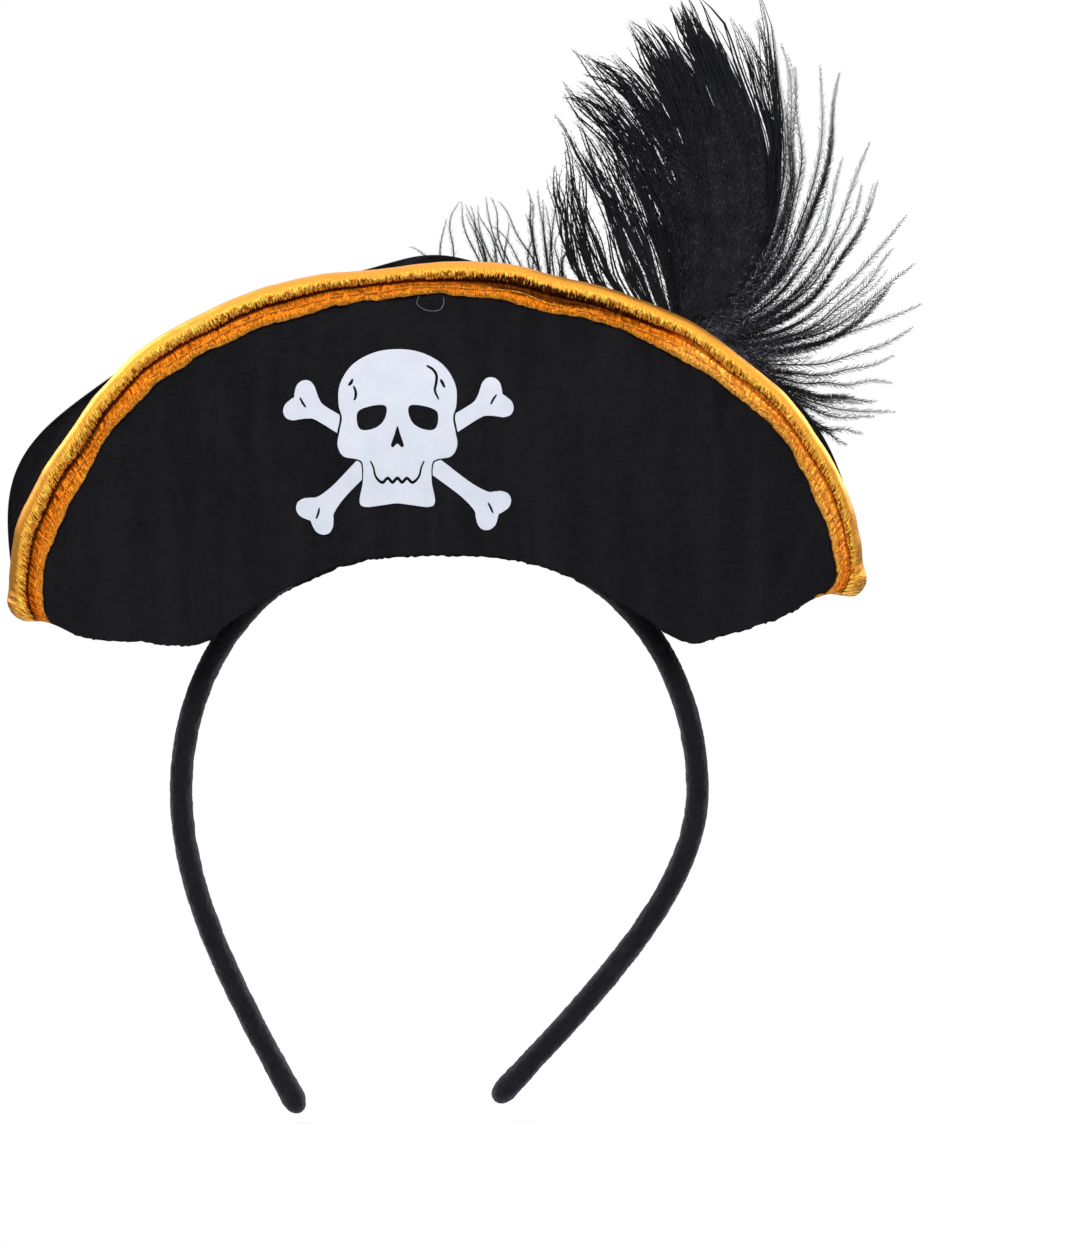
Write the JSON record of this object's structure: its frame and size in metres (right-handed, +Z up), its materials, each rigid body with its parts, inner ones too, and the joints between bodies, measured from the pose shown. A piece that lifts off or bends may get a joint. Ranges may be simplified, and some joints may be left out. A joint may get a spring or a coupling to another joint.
{
  "type": "pirate hat headband",
  "caption": "Mini pirate hat on a sprung velvet headband: stuffed crown between turned-up gold-edged brims, skull and crossbones film, swaying ostrich plume.",
  "frame": {"origin": "middle of the headband's inner face, where it rests on top of the head", "axes": "+Z up through the crown of the head, the hat faces -Y, +X towards the plume"},
  "size_m": [0.1721, 0.0377, 0.2075],
  "materials": {
    "velvet": "short-pile black velvet",
    "foam": "thin black polyester foam",
    "felt": "pressed black felt",
    "stuffing": "loose polyester fibre",
    "gold": "crinkled metallic gold foil fabric",
    "gold_thread": "twisted gold sewing thread",
    "film": "smooth satin white film",
    "plastic": "moulded black plastic strip",
    "glue": "set clear glue",
    "quill": "dyed black feather stem",
    "barbs": "dyed black ostrich barbs"
  },
  "bodies": {
    "hat": {"band_core_crown": "plastic", "band_sleeve_crown": "velvet", "base_felt": "felt", "glue_pad_left": "glue", "glue_pad_right": "glue", "crown_front_panel": "velvet", "crown_back_panel": "velvet", "crown_stuffing": "stuffing", "front_brim_face": "velvet", "front_brim_foam": "foam", "front_brim_lining": "velvet", "front_binding": "gold", "front_binding_sewing": "gold_thread", "back_brim_face": "velvet", "back_brim_foam": "foam", "back_brim_lining": "velvet", "back_binding": "gold", "back_binding_sewing": "gold_thread", "skull_film": "film", "bone_upper_left_film": "film", "bone_upper_right_film": "film", "bone_lower_left_film": "film", "bone_lower_right_film": "film", "plume_quill_foot": "quill"},
    "left_arm": {"band_core_left": "plastic", "band_sleeve_left": "velvet"},
    "right_arm": {"band_core_right": "plastic", "band_sleeve_right": "velvet"},
    "plume": {"plume_quill": "quill", "plume_inner_vane": "barbs", "plume_outer_vane": "barbs"}
  },
  "joints": [
    {"name": "left_arm_flex", "type": "hinge", "parent": "hat", "child": "left_arm", "pos_m": [-0.0442, 0, -0.0238], "axis": [0, 1, 0], "range_deg": [-6, 24], "stiffness_Nm_per_rad": 0.1},
    {"name": "right_arm_flex", "type": "hinge", "parent": "hat", "child": "right_arm", "pos_m": [0.0442, 0, -0.0238], "axis": [0, -1, 0], "range_deg": [-6, 24], "stiffness_Nm_per_rad": 0.1},
    {"name": "plume_sway", "type": "hinge", "parent": "hat", "child": "plume", "pos_m": [0.0447, 0.00635, 0.04015], "axis": [0, 1, 0], "range_deg": [-8, 10], "stiffness_Nm_per_rad": 0.02}
  ]
}
